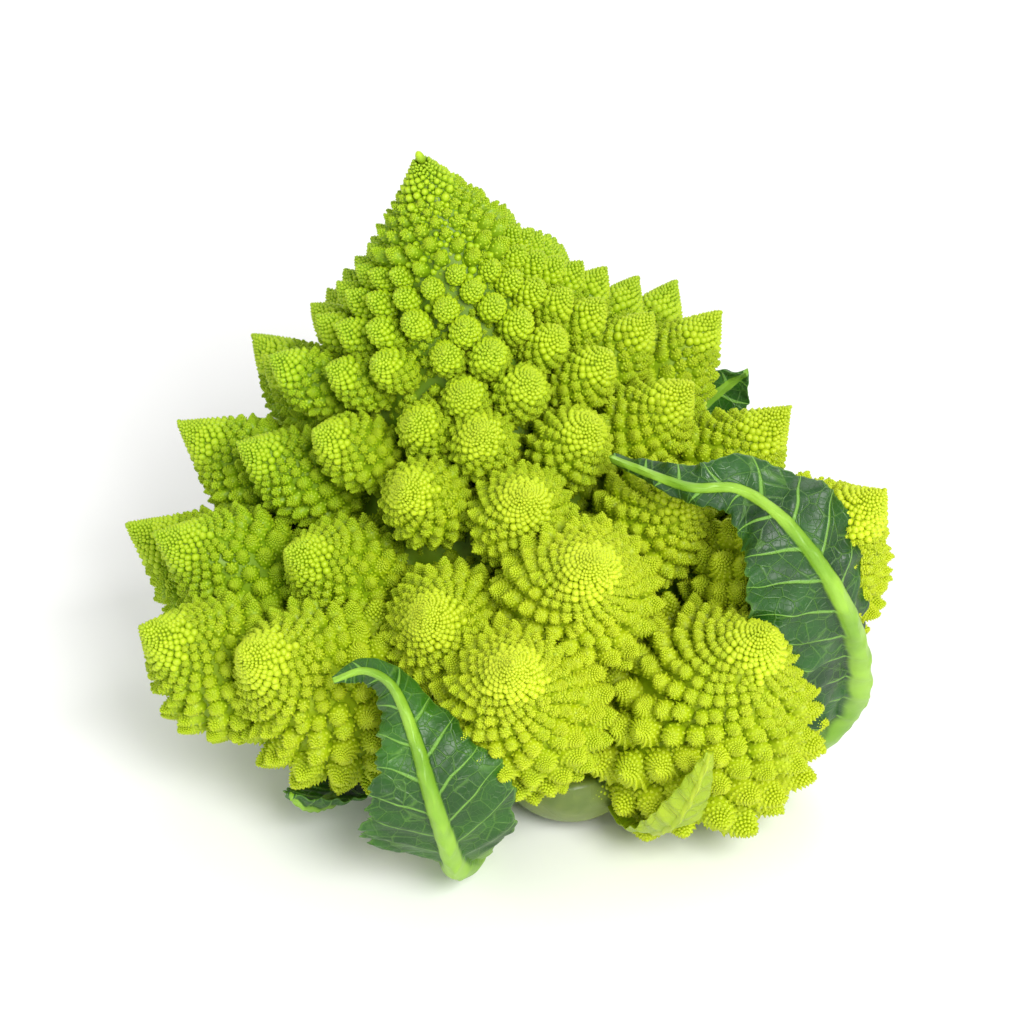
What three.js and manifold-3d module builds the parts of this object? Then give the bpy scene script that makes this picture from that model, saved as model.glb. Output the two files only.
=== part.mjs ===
// A romanesco head: a leaning cone of florets on a golden-angle spiral, with its cut stalk and last leaves.
// Millimetres. The origin is the centre of the cut face under the stalk, +Z is up, -Y is the head's front.
import * as THREE from 'three'
import { mergeVertices } from 'three/addons/utils/BufferGeometryUtils.js'
import Module from 'manifold-3d'

const wasm = await Module()
wasm.setup()

const radians = THREE.MathUtils.degToRad
const lerp = THREE.MathUtils.lerp
const smoothstep = THREE.MathUtils.smoothstep

// The head as a whole
const APEX_HEIGHT = 148 // from the cut face to the apex, along the head's own axis
const LEAN = radians(7.6) // the axis leans toward -X
const GAP = 0.4 // between pieces that touch
const SMALLEST_FACET = 0.3 // detail below this is merged away

// The spiral: each floret stands a little nearer the apex than the one before it
const FLORET_COUNT = 82
const DIVERGENCE = radians(137.69)
const FIRST_AZIMUTH = radians(307)
const WIDEST_REACH = 141 // how far the first floret would stand from the axis with no rim to hold it in
const LOW_STEP = 0.0333 // shrink per floret near the stalk
const HIGH_STEP = 0.0117 // shrink per floret near the apex
const STEP_CHANGE = 39 // the floret where one turns into the other
const STEP_SOFTNESS = 8.8
const LOW_FLORETS = 16 // florets in the outermost tiers

// The envelope that the floret tips touch
const CONE_HALF_ANGLE = radians(38.6)
const DEEPEST_TIP = 78 // below the apex
const FRONT_RIM = 106 // the head spreads further in front than behind
const BACK_RIM = 60
const RIM_SHARPNESS = 8
const RIM_TURN = [-0.3, 0.68] // -sin(azimuth) where the rim starts and stops widening toward the front
const DROOP = 0.2 // how far a floret held in by the rim sinks instead
// The florets that keep least to the spiral: degrees round, millimetres out along their axes and up, and size
const STRAYS = {
  0: [1, 0, 2, 1.08],
  2: [0, -4, 12, 0.65],
  5: [0, -7, 12, 0.85],
  7: [3, 2, 1, 1],
  8: [0, 18, -4, 1],
  10: [-7, 0, 0, 1.1],
  13: [-7, -4, 15, 1],
  15: [-4, 0, 2, 0.9],
  18: [-3, 0, -4, 1],
  19: [-7, 6, 3, 1],
  20: [2, 4, 2, 1],
  23: [-3, 0, -6, 1],
  24: [-2, 5, 3, 1],
  25: [5, 4, 2, 1],
  26: [-3, 0, 4, 1],
  41: [0, 5, 0, 1],
  44: [8, -2, -2, 1],
  52: [6, -1, -3, 1],
  65: [9, -2, -1, 1],
}

// One floret: a cone of buds on a stout branch
const FLORET_RADIUS = 0.2 // times the tip's distance from the axis
const LOW_SWELL = 0.015 // more for each tier nearer the stalk
const FLORET_TILT = radians(46) // of its axis above the level of its tier
const LOW_TILT = radians(9)
const FLORET_PROFILE = [[0, 0], [0.42, 0.55], [1, 1.5], [0.8, 2.1], [0, 2.4]]
const SMALL_PROFILE = [[0, 0], [1, 1.5], [0, 2.4]]
const SMALL_FLORET = 5.5 // radius below which the small profile does
const FEWEST_SIDES = 6
const RADIUS_PER_SIDE = 4 // one more side for each such step of radius
const BRANCHED_FLORETS = 22 // the outer ones, each on a branch of its own
const BRANCH_SIDES = 6
const BRANCH_ROOT = 0.6 // radius at the stalk, times the floret's
const BRANCH_END = 0.85 // radius inside the floret, times the floret's
const BODY_CENTRE = 1.6 // below the tip, times the radius

// The flesh that the florets share, and the stalk
const CORE_FRACTION = 0.7 // of the envelope
const CROWN_FRACTION = 0.93 // the same, for the small cone of buds at the top
const CORE_WAIST = 44
const CORE_SHOULDER = 22 // height above its bottom at which the core is widest
const CORE_SIDES = 32
const FLORETS_PER_RING = 8 // the core's outline follows every eighth floret
const ROOT_DEPTH = 106 // below the apex, where the outer branches leave the stalk
const CURD_DEPTH = 118
const STALK_RADIUS = 27
const STALK_BULGE = 31
const STALK_FOOT = 8 // how far below the cut the leaned stem starts, to be trimmed level
const STALK_WIDEST = [0.4, 0.7] // shares of its height between which it bulges
const STALK_SIDES = 36

// Leaves: stations from the stalk to the tip, with the side that the midrib bulges to and the half-widths
const BLADE_THICKNESS = 1.4
const RIB_SHARE = 0.3 // of the half-width
const INNER_RIB = 0.15 // of the midrib's thickness that shows on the other side
const LEAF_CUP = 0.1 // how far the margins curl back, times the width
const LEAF_STEPS = 16
const LEAF_COLUMNS = [-1, -0.65, -0.3, 0, 0.3, 0.65, 1]
const LEAVES = {
  front_leaf: [
    { at: [-6, -33, 8], rib: [0, 0, -1], left: 7, right: 7, thick: 4 },
    { at: [-10, -55, 6], rib: [0, -0.1, -1], left: 6, right: 6, thick: 4 },
    { at: [-12.5, -76, 6], rib: [0, -0.5, -0.8], left: 6, right: 6, thick: 4 },
    { at: [-14, -88, 14], rib: [0, -1, -0.3], left: 11, right: 10, thick: 3.5 },
    { at: [-16, -95, 28], rib: [0, -1, 0.1], left: 18, right: 16, thick: 3 },
    { at: [-19, -97, 42], rib: [0.1, -1, 0.3], left: 14, right: 18, thick: 2.4 },
    { at: [-22.5, -93, 53], rib: [0.1, -0.9, 0.5], left: 8, right: 10, thick: 1.8 },
    { at: [-27, -87, 62], rib: [0, -0.8, 0.6], left: 4, right: 4, thick: 1.2 },
    { at: [-33, -86, 66], rib: [-0.1, -0.8, 0.6], left: 3, right: 3, thick: 0.8 },
    { at: [-40, -88, 65], rib: [-0.1, -0.8, 0.6], left: 0.8, right: 0.8, thick: 0.4 },
  ],
  side_leaf: [
    { at: [29, -13, 12], rib: [0, 0, -1], left: 8, right: 8, thick: 5 },
    { at: [50, -28, 7], rib: [0.2, -0.2, -1], left: 7, right: 7, thick: 5 },
    { at: [69, -42, 12], rib: [0.8, -0.4, -0.6], left: 7, right: 6, thick: 5 },
    { at: [80, -48, 28], rib: [1, -0.5, -0.1], left: 9, right: 6, thick: 4.5 },
    { at: [82, -56, 46], rib: [0.8, -0.8, 0.1], left: 13, right: 7, thick: 4 },
    { at: [76, -66, 70], rib: [0.4, -0.9, 0.3], left: 22, right: 9, thick: 3.2 },
    { at: [62, -64, 88], rib: [0.2, -0.8, 0.5], left: 13, right: 13, thick: 2.4 },
    { at: [50, -55, 93], rib: [0.1, -0.8, 0.6], left: 7, right: 8, thick: 2 },
    { at: [37, -56, 94], rib: [0, -0.8, 0.6], left: 3, right: 5, thick: 1.4 },
    { at: [21, -42, 92], rib: [0, -0.8, 0.6], left: 1, right: 1.5, thick: 0.6 },
  ],
  back_leaf: [
    { at: [10, 29, 12], rib: [0, 0, -1], left: 7, right: 7, thick: 4 },
    { at: [24, 50, 8], rib: [0.1, 0.3, -1], left: 9, right: 9, thick: 3.5 },
    { at: [38, 64, 18], rib: [0.3, 0.8, -0.5], left: 15, right: 14, thick: 3 },
    { at: [48, 68, 34], rib: [0.4, 1, 0], left: 15, right: 14, thick: 2.2 },
    { at: [56, 66, 44], rib: [0.5, 1, 0.3], left: 7, right: 7, thick: 1.4 },
    { at: [60, 62, 50], rib: [0.5, 1, 0.4], left: 1, right: 1, thick: 0.5 },
  ],
  under_leaf: [
    { at: [-22, -22, 12], rib: [0, 0, -1], left: 6, right: 6, thick: 4 },
    { at: [-34, -42, 7], rib: [0, -0.2, -1], left: 9, right: 8, thick: 3 },
    { at: [-42, -58, 8], rib: [-0.1, -0.4, -1], left: 11, right: 9, thick: 2 },
    { at: [-48, -68, 13], rib: [-0.3, -0.8, -0.6], left: 7, right: 6, thick: 1.2 },
    { at: [-52, -72, 19], rib: [-0.4, -0.8, -0.3], left: 1, right: 1, thick: 0.5 },
  ],
  leaf_stub: [
    { at: [5, -30, 9], rib: [0, 0, -1], left: 9, right: 9, thick: 5 },
    { at: [9, -45, 6.5], rib: [0, -0.1, -1], left: 12, right: 12, thick: 5 },
    { at: [12, -58, 7], rib: [0, -0.4, -1], left: 13, right: 13, thick: 5 },
    { at: [13, -66, 13], rib: [0, -1, -0.4], left: 11, right: 11, thick: 3.5 },
    { at: [13, -68, 20], rib: [0, -1, 0], left: 8, right: 8, thick: 2 },
  ],
  bract: [
    { at: [20, -46, 12], rib: [0.2, -0.5, -1], left: 3, right: 3, thick: 2 },
    { at: [28, -72, 12], rib: [0.3, -0.6, -0.8], left: 4, right: 4, thick: 1.6 },
    { at: [34, -86, 24], rib: [0.3, -1, 0], left: 5, right: 5, thick: 1.2 },
    { at: [38.5, -91, 36], rib: [0.2, -1, 0.2], left: 4, right: 4, thick: 1 },
    { at: [42, -92, 48], rib: [0.2, -1, 0.4], left: 1, right: 1, thick: 0.5 },
  ],
}

/** Distance from the axis at which the head's rim holds the outer florets, by azimuth. */
function rimAt(azimuth) {
  return lerp(BACK_RIM, FRONT_RIM, smoothstep(-Math.sin(azimuth), ...RIM_TURN))
}

/** Every floret from the stalk up: where its tip is, which way it points and how thick it is. */
function spiralFlorets() {
  const florets = []
  let reach = WIDEST_REACH
  for (let index = 0; index < FLORET_COUNT; index++) {
    const [around, outgrown, raised, size] = STRAYS[index] ?? [0, 0, 0, 1]
    const azimuth = FIRST_AZIMUTH + DIVERGENCE * index + radians(around)
    const held = reach / Math.pow(1 + Math.pow(reach / rimAt(azimuth), RIM_SHARPNESS), 1 / RIM_SHARPNESS)
    const coneDepth = reach / Math.tan(CONE_HALF_ANGLE)
    const sunk = DEEPEST_TIP * Math.tanh(coneDepth / DEEPEST_TIP) + DROOP * (reach - held)
    const low = Math.max(0, LOW_FLORETS - index)
    const tilt = FLORET_TILT - LOW_TILT * (low / LOW_FLORETS) * Math.sin(azimuth)
    const distance = held + outgrown * Math.cos(tilt)
    const depth = sunk - raised - outgrown * Math.sin(tilt)
    const radius = FLORET_RADIUS * held * (1 + LOW_SWELL * low) * size
    florets.push({ index, azimuth, tilt, distance, depth, radius })
    const settled = 1 / (1 + Math.exp((STEP_CHANGE - index) / STEP_SOFTNESS))
    reach *= Math.exp(-lerp(LOW_STEP, HIGH_STEP, settled))
  }
  return florets
}

/** A closed geometry as a solid that can be joined and cut. */
function toSolid(geometry) {
  const bare = geometry.index ? geometry.toNonIndexed() : geometry.clone()
  bare.deleteAttribute('normal')
  bare.deleteAttribute('uv')
  const merged = mergeVertices(bare, 1e-4)
  return new wasm.Manifold(new wasm.Mesh({
    numProp: 3,
    vertProperties: Float32Array.from(merged.attributes.position.array),
    triVerts: Uint32Array.from(merged.index.array),
  }))
}

/** The outer surface of a joined solid, with the pockets sealed inside it filled in. */
function filled(solid) {
  return solid.decompose().reduce((largest, body) => (body.volume() > largest.volume() ? body : largest))
}

/** A solid back as a geometry with flat facets. */
function toGeometry(solid) {
  const mesh = solid.getMesh()
  const geometry = new THREE.BufferGeometry()
  geometry.setAttribute('position', new THREE.BufferAttribute(Float32Array.from(mesh.vertProperties), 3))
  geometry.setIndex(new THREE.BufferAttribute(Uint32Array.from(mesh.triVerts), 1))
  const faceted = geometry.toNonIndexed()
  faceted.computeVertexNormals()
  return faceted
}

/** Turns a profile of [radius, height] pairs about +Z. */
function turned(profile, sides) {
  const points = profile.map(([radius, height]) => new THREE.Vector2(radius, height))
  const geometry = new THREE.LatheGeometry(points, sides)
  geometry.rotateX(Math.PI / 2)
  return geometry
}

/** A matrix that stands +Z along a direction at a place. */
function standing(place, direction) {
  const turn = new THREE.Quaternion().setFromUnitVectors(new THREE.Vector3(0, 0, 1), direction)
  return new THREE.Matrix4().compose(place, turn, new THREE.Vector3(1, 1, 1))
}

function floretTip({ azimuth, distance, depth }) {
  return new THREE.Vector3(distance * Math.cos(azimuth), distance * Math.sin(azimuth), APEX_HEIGHT - depth)
}

function floretAxis({ azimuth, tilt }) {
  const level = Math.cos(tilt)
  return new THREE.Vector3(level * Math.cos(azimuth), level * Math.sin(azimuth), Math.sin(tilt))
}

/** One floret's cone of buds, its tip where the spiral puts it. */
function floretSolid(floret) {
  const small = floret.radius < SMALL_FLORET
  const sides = small ? FEWEST_SIDES : Math.round(FEWEST_SIDES + floret.radius / RADIUS_PER_SIDE)
  const shape = small ? SMALL_PROFILE : FLORET_PROFILE
  const profile = shape.map(([across, along]) => [across * floret.radius, -along * floret.radius])
  const geometry = turned(profile.reverse(), sides)
  geometry.applyMatrix4(standing(floretTip(floret), floretAxis(floret)))
  return toSolid(geometry)
}

/** The branch that carries an outer floret, from the middle of its body to the head's axis. */
function branchSolid(floret) {
  const body = floretTip(floret).addScaledVector(floretAxis(floret), -BODY_CENTRE * floret.radius)
  const root = new THREE.Vector3(0, 0, APEX_HEIGHT - ROOT_DEPTH)
  const run = new THREE.Vector3().subVectors(body, root)
  const length = run.length()
  const start = BRANCH_ROOT * floret.radius
  const end = BRANCH_END * floret.radius
  const geometry = turned([[0, 0], [start, 0], [end, length], [0, length]], BRANCH_SIDES)
  geometry.applyMatrix4(standing(root, run.normalize()))
  return toSolid(geometry)
}

/** The flesh between the florets, inside the envelope of their tips. */
function coreSolid(florets) {
  const upper = florets.filter(({ index }) => index >= LOW_FLORETS && index % FLORETS_PER_RING === 0)
  const profile = upper.map(({ distance, depth, radius }) => [
    Math.min(CORE_WAIST, CORE_FRACTION * distance), APEX_HEIGHT - depth - radius])
  const bottom = APEX_HEIGHT - CURD_DEPTH
  const last = florets[florets.length - 1]
  const outline = [[0, bottom], [STALK_RADIUS, bottom], [CORE_WAIST, bottom + CORE_SHOULDER], ...profile]
  outline.push([CROWN_FRACTION * last.distance, APEX_HEIGHT - last.depth], [0, APEX_HEIGHT])
  return toSolid(turned(outline, CORE_SIDES))
}

/** The whole flower head as one grown solid. */
function curdSolid() {
  const florets = spiralFlorets()
  const outer = florets.filter(({ index }) => index < BRANCHED_FLORETS)
  const solids = [coreSolid(florets), ...florets.map(floretSolid), ...outer.map(branchSolid)]
  return filled(wasm.Manifold.union(solids))
}

/** The short stem, grown by a clearance on every side. */
function stalkSolid(clearance) {
  const top = APEX_HEIGHT - CURD_DEPTH + clearance
  const rim = STALK_RADIUS + clearance
  const bulge = STALK_BULGE + clearance
  const swollen = STALK_WIDEST.map((share) => [bulge, share * top])
  return toSolid(turned([[0, -STALK_FOOT], [rim, -STALK_FOOT], ...swollen, [rim, top], [0, top]], STALK_SIDES))
}

/** A spline through one triple of numbers that each station of a leaf gives. */
function through(stations, pick) {
  const points = stations.map((station) => new THREE.Vector3(...pick(station)))
  return new THREE.CatmullRomCurve3(points, false, 'centripetal')
}

/** One leaf, grown by a clearance: a thin blade on a thick midrib, laid through its stations. */
function leafSolid(stations, clearance) {
  const spine = through(stations, ({ at }) => at)
  const ribSide = through(stations, ({ rib }) => rib)
  const widths = through(stations, ({ left, right, thick }) => [left, right, thick])
  const positions = []
  const triangles = []
  const ring = 2 * LEAF_COLUMNS.length
  for (let step = 0; step <= LEAF_STEPS; step++) {
    const t = step / LEAF_STEPS
    const place = spine.getPoint(t)
    const along = spine.getTangent(t)
    const outward = ribSide.getPoint(t)
    outward.addScaledVector(along, -outward.dot(along)).normalize()
    const across = new THREE.Vector3().crossVectors(along, outward)
    const { x: left, y: right, z: thick } = widths.getPoint(t)
    const point = (column, side) => {
      const reach = column * (column < 0 ? left : right) + Math.sign(column) * clearance
      const rib = thick * Math.max(0, 1 - Math.abs(column) / RIB_SHARE)
      const lift = side * (BLADE_THICKNESS / 2 + clearance) + (side > 0 ? rib : -INNER_RIB * rib)
      const cupped = LEAF_CUP * column * column * (left + right)
      const spot = place.clone().addScaledVector(across, reach).addScaledVector(outward, lift - cupped)
      spot.addScaledVector(along, step === 0 ? -clearance : step === LEAF_STEPS ? clearance : 0)
      positions.push(...spot)
    }
    LEAF_COLUMNS.forEach((column) => point(column, 1))
    LEAF_COLUMNS.toReversed().forEach((column) => point(column, -1))
  }
  for (let step = 0; step < LEAF_STEPS; step++) {
    for (let corner = 0; corner < ring; corner++) {
      const here = step * ring + corner
      const beside = step * ring + ((corner + 1) % ring)
      triangles.push(here, beside, here + ring, beside, beside + ring, here + ring)
    }
  }
  const last = LEAF_STEPS * ring
  for (let corner = 0; corner < ring / 2 - 1; corner++) {
    const facing = ring - 1 - corner
    triangles.push(corner, facing, corner + 1, corner + 1, facing, facing - 1)
    triangles.push(last + corner, last + corner + 1, last + facing)
    triangles.push(last + corner + 1, last + facing - 1, last + facing)
  }
  const geometry = new THREE.BufferGeometry()
  geometry.setAttribute('position', new THREE.BufferAttribute(Float32Array.from(positions), 3))
  geometry.setIndex(triangles)
  return toSolid(geometry)
}

function finish(colour, roughness) {
  return new THREE.MeshStandardMaterial({ color: colour, roughness, metalness: 0 })
}

const CURD = finish(0xbacd24, 0.55)
const STEM = finish(0x9fae6a, 0.5)
const LEAF = finish(0x4a8a30, 0.45)

const head = new THREE.Group()

function add(name, solid, material) {
  const mesh = new THREE.Mesh(toGeometry(solid), material)
  mesh.name = name
  head.add(mesh)
}

const leaning = new THREE.Matrix4().makeRotationY(-LEAN).elements
const BENCH = [4 * STALK_RADIUS, 4 * STALK_RADIUS, 2 * STALK_FOOT]
const below = toSolid(new THREE.BoxGeometry(...BENCH).translate(0, 0, -STALK_FOOT))
const grown = filled(curdSolid().subtract(stalkSolid(GAP)))
const whole = grown.simplify(SMALLEST_FACET).transform(leaning)

let taken = stalkSolid(GAP).transform(leaning)
for (const [name, stations] of Object.entries(LEAVES)) {
  add(name, filled(leafSolid(stations, 0).subtract(taken)), LEAF)
  taken = taken.add(leafSolid(stations, GAP))
}
add('curd', filled(whole.subtract(taken)), CURD)
add('stalk', stalkSolid(0).transform(leaning).subtract(below), STEM)

export default head
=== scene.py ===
"""A romanesco head on a pale floor: the curd's florets and buds, its branches, stalk and leaves."""

import math
import bpy
import numpy as np
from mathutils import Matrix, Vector


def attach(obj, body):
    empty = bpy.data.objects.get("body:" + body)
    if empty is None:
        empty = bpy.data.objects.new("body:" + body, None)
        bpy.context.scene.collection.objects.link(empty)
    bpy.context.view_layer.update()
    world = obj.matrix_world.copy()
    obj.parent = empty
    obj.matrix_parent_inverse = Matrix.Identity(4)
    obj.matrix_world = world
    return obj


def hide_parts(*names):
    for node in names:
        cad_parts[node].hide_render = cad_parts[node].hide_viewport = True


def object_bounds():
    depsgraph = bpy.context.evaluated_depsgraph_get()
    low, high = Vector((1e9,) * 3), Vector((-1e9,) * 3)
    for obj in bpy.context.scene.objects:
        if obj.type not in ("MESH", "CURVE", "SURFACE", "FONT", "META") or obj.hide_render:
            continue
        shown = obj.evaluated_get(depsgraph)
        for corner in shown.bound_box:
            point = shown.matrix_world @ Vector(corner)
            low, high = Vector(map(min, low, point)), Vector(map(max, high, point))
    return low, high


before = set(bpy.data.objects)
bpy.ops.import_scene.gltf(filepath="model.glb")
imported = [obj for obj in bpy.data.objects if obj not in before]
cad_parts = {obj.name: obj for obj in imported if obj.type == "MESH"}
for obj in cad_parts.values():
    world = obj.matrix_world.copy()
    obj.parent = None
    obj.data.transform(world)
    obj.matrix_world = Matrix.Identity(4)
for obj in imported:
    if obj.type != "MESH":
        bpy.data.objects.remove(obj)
CAD_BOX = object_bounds()

# Lengths are in millimetres, in the CAD model's frame, and meshes are made in metres
MM = 0.001
SEED = 7

# The head, as the CAD model lays it out
APEX_HEIGHT = 148.0  # from the cut face to the apex, along the head's own axis
LEAN = math.radians(7.6)  # the axis leans toward -X
STALK_HEIGHT = 30.0
STALK_RADIUS = 27.0
STALK_BULGE = 31.0
ROOT_HEIGHT = 42.0  # where the outer branches leave the stalk

# The spiral: each floret stands a little nearer the apex than the one before it
FLORETS = 900
DIVERGENCE = math.radians(137.69)
FIRST_AZIMUTH = math.radians(307)
WIDEST_REACH = 141.0
LOW_STEP = 0.0333
HIGH_STEP = 0.0117
STEP_CHANGE = 39
STEP_SOFTNESS = 8.8
LOW_FLORETS = 16
CROWDING = (34, 80)  # the florets over which they shrink, so that the crown's stand apart
CROWDED_SIZE = 0.27
BRANCHED_FLORETS = 30  # the ones whose branches can be seen from below
CONE_HALF_ANGLE = math.radians(38.6)
DEEPEST_TIP = 78.0
FRONT_RIM = 106.0
BACK_RIM = 60.0
RIM_TURN = (-0.3, 0.68)  # how far toward the front the rim starts and stops growing
RIM_SHARPNESS = 8
DROOP = 0.2
# Degrees round, millimetres out along the floret's axis and up, and size
STRAYS = {
    0: (1, 0, 2, 1.08),
    2: (0, -4, 12, 0.65),
    5: (0, -7, 12, 0.85),
    7: (3, 2, 1, 1),
    8: (0, 18, -4, 1),
    10: (-7, 0, 0, 1.1),
    13: (-7, -4, 15, 1),
    15: (-4, 0, 2, 0.9),
    18: (-3, 0, -4, 1),
    19: (-7, 6, 3, 1),
    20: (2, 4, 2, 1),
    23: (-3, 0, -6, 1),
    24: (-2, 5, 3, 1),
    25: (5, 4, 2, 1),
    26: (-3, 0, 4, 1),
    41: (0, 5, 0, 1),
    44: (8, -2, -2, 1),
    52: (6, -1, -3, 1),
    65: (9, -2, -1, 1),
}
FLORET_RADIUS = 0.2
LOW_SWELL = 0.015
FLORET_TILT = math.radians(46)
LOW_TILT = math.radians(9)
SMALLEST_FLORET = 2.5  # radius, below which it is a single bud
SMALLEST_BUD = 0.3  # radius, below which the crown ends

# Cones of buds: radius and depth below the tip, times the cone's radius
GOLDEN_ANGLE = math.radians(137.5)
CONE_PROFILE = [
    (0, 0), (0.06, 0.05), (0.2, 0.26), (0.42, 0.58), (0.68, 0.95), (0.9, 1.32), (1, 1.7), (0.98, 2.1),
    (0.86, 2.6), (0.66, 3.1),
]
ROUND_PROFILE = [
    (0, 0), (0.16, 0.07), (0.36, 0.22), (0.6, 0.48), (0.82, 0.84), (0.95, 1.22), (1, 1.6), (0.98, 2.1),
    (0.86, 2.6), (0.66, 3.1),
]
BUD_PROFILE = [(0, 0), (0.26, 0.1), (0.6, 0.4), (0.88, 0.86), (1, 1.4), (0.96, 1.95), (0.7, 2.5), (0, 3.0)]
SPIKE_PROFILE = [
    (0, 0), (0.2, 0.1), (0.45, 0.45), (0.7, 0.88), (0.91, 1.35), (1, 1.85), (0.9, 2.5), (0.6, 3), (0, 3.4),
]
ROUND_SIZE = 3.0  # radius of the florets that are round domes
POINTED_SIZE = 15.0  # radius of the florets that are pointed cones
POINTING_POWER = 0.7
BUD_SPACING = 0.275  # between buds, times their distance from the cone's axis
BASE_SWELL = 0.5  # how much further apart they are at the cone's widest
SMALL_COARSENESS = 0.4  # how much further apart they are on the smallest florets
TIP_SPACING = 0.95  # between the smallest buds
TIP_CROWDING = 0.3  # least radius that buds are counted at, times that spacing
BUD_FILL = 0.56  # a bud's radius, times the spacing
SPIKE_RISE = 0.42  # how far the largest buds stand proud, times their radius
SPIKE_SIZES = (1.26, 3.36)  # radii of the buds that start to stand proud and that do so fully
SPIKE_SPREAD = (0.4, 1.3)
BUD_FOOT = 0.6  # how far inside its place a bud is rooted, times the spacing
BUD_TILT = math.radians(46)  # up from square to the cone's axis
TILT_BY_DEPTH = [(0, 1.1), (1.6, 0.9), (3, 0.1)]  # times that tilt, at depths times the cone's radius
# Depth, times the floret's radius, over which the tipward mark fades; it sets the tip's paler tone and
# painted highlight, and weakens the painted crease shade
TIPWARD_DEPTH = 1.6
TURN_JITTER = 0.04
LEAN_JITTER = 0.05
SIZE_JITTER = 0.08
BURIED_MARGIN = 0.3  # how far under another floret's outline a bud is left out, times that floret's radius
NEARBY = (8, 60)  # a floret can bury what is within so many of its radii and so many millimetres
BODY_DEPTH = 1.7  # of the cone's body below the bud tips, times a bud's radius
BODY_INSET = (0.75, 0.65)  # of that depth, sideways and down
BODY_FOOT = 3.4
BODY_ROWS, BODY_SIDES = 16, 24

# Beads on a bud, times its radius
BEADED_WIDTH = 0.86  # of the body under the beads
BEADED_SINK = 0.12
# The rise marks set how much painted highlight a bud's body and its beads take; where the rise is low they
# take painted crease shade
BEADED_RISE = 0.55  # the body's own height mark at its tip
BEAD_RISE = 0.35  # a bead's height mark at its foot
BEAD_TILT = math.radians(40)
BEAD_TIP_SPACING = 0.42  # times the spacing lower down
BEAD_FILL = 0.56

# The flesh that all florets share. Its radius is a share of the head's cone down from the apex, then a
# waist, then the radii by which it narrows to the stalk; each is given with its depth below the apex
CORE_SHARES = [(0, 0.74), (12, 0.72), (30, 0.64), (60, 0.5)]
CORE_WAIST = 36.0
CORE_FOOT = [(78, CORE_WAIST), (90, 36), (104, 30), (APEX_HEIGHT - STALK_HEIGHT, STALK_RADIUS - 1)]
CORE_DEPTHS = [2.5, 4, 7, 12, 24, 40, 58, 74, 82, 90, 104, 112, APEX_HEIGHT - STALK_HEIGHT + 2]
CORE_SIDES = 48
LOWEST_BUD = 11.0  # height below which there are no buds
UNDERSIDE = 13.0  # height of the curd's underside
UNDERSIDE_SAG = 0.1
BRANCH_ROOT, BRANCH_END = 0.32, 0.52  # a branch's radii, times its floret's radius
BRANCH_STOP = 2.3  # from a floret's tip back to its branch's end, times its radius
FLESH_VOXEL = 1.3
FLESH_SMOOTHING = {"factor": 0.6, "iterations": 6}

# Buds in the clefts between florets: spacing by depth below the apex, and how far out of the flesh they
# stand, times their radius
CLEFT_APART = [(3, 0.7), (16, 1.6), (60, 3.7), (92, 5.2)]
CLEFT_ROWS = 60
CLEFT_RISE = (0.2, 1.9)
CLEFT_TILT = math.radians(35)
CLEFT_MARGIN = 0.1
CLEFT_SIZE_JITTER = 0.1

# The crown of single buds round the apex, and how far it nods to the side and stretches
CROWN_FILL = 1.1
CROWN_RISE = 0.3
CROWN_HEIGHT = 26.0
CROWN_NOD = (-3.2, 0, 1.2)
# The crown buds' tipward marks, from the outer buds to the inner; they set their painted highlight and how
# much painted crease shade they take
CROWN_TIPWARD = (0.3, 0.75)
APEX_CAP = 1.1
APEX_SINK = 0.6

MOST_FACES = 190_000  # in one mesh of buds
MOST_IN_RUN = 60_000  # in one run of like buds on one floret


def unit(v):
    return v / np.linalg.norm(v, axis=-1, keepdims=True)


def arc_of(profile, fine=400):
    """Radius, depth and arc length along a smooth curve through a profile."""
    points = np.array(profile, float)
    at = np.linspace(0, len(points) - 1, fine)
    curve = smooth_through(points, at)
    run = np.concatenate([[0], np.cumsum(np.linalg.norm(np.diff(curve, axis=0), axis=1))])
    return np.maximum(curve[:, 0], 0), curve[:, 1], run


def smooth_through(points, at):
    """A Catmull-Rom curve through points, read at the places given in steps from the first point."""
    points = np.asarray(points, float)
    last = len(points) - 1
    whole = np.clip(np.floor(at).astype(int), 0, last - 1)
    u = (at - whole)[:, None]
    padded = np.vstack([2 * points[0] - points[1], points, 2 * points[-1] - points[-2]])
    a, b, c, d = (padded[whole + k] for k in range(4))
    return 0.5 * (2 * b + (c - a) * u + (2 * a - 5 * b + 4 * c - d) * u**2 + (3 * b - a - 3 * c + d) * u**3)


def polar(radius, azimuth, height):
    """Points at a radius, azimuth and height."""
    across = radius * np.cos(azimuth), radius * np.sin(azimuth)
    return np.stack(np.broadcast_arrays(*across, height), -1)


def pointing(tilt, azimuth):
    """Unit vectors at a tilt above level."""
    return polar(np.cos(tilt), azimuth, np.sin(tilt))


def held_down_to(radius, run, apart):
    """How many close-packed buds a turned surface holds from its top down to each place along it."""
    crowd = 2 * np.pi * radius / (math.sqrt(3) / 2 * apart**2)
    return np.concatenate([[0], np.cumsum((crowd[1:] + crowd[:-1]) / 2 * np.diff(run))])


def spiral_on(profile, size, spacing, smallest):
    """Buds on a golden-angle spiral over a turned profile: their radius, depth, spacing and azimuth."""
    radius, depth, run = (size * part for part in arc_of(profile))
    widest = np.maximum.accumulate(radius)
    apart = np.maximum(spacing * widest * (1 + BASE_SWELL * (widest / size) ** 3), smallest)
    count = held_down_to(np.maximum(radius, TIP_CROWDING * smallest), run, apart)
    index = np.arange(int(count[-1]))
    read = [np.interp(index, count, values) for values in (radius, depth, apart)]
    return (*read, index * GOLDEN_ANGLE)


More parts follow.
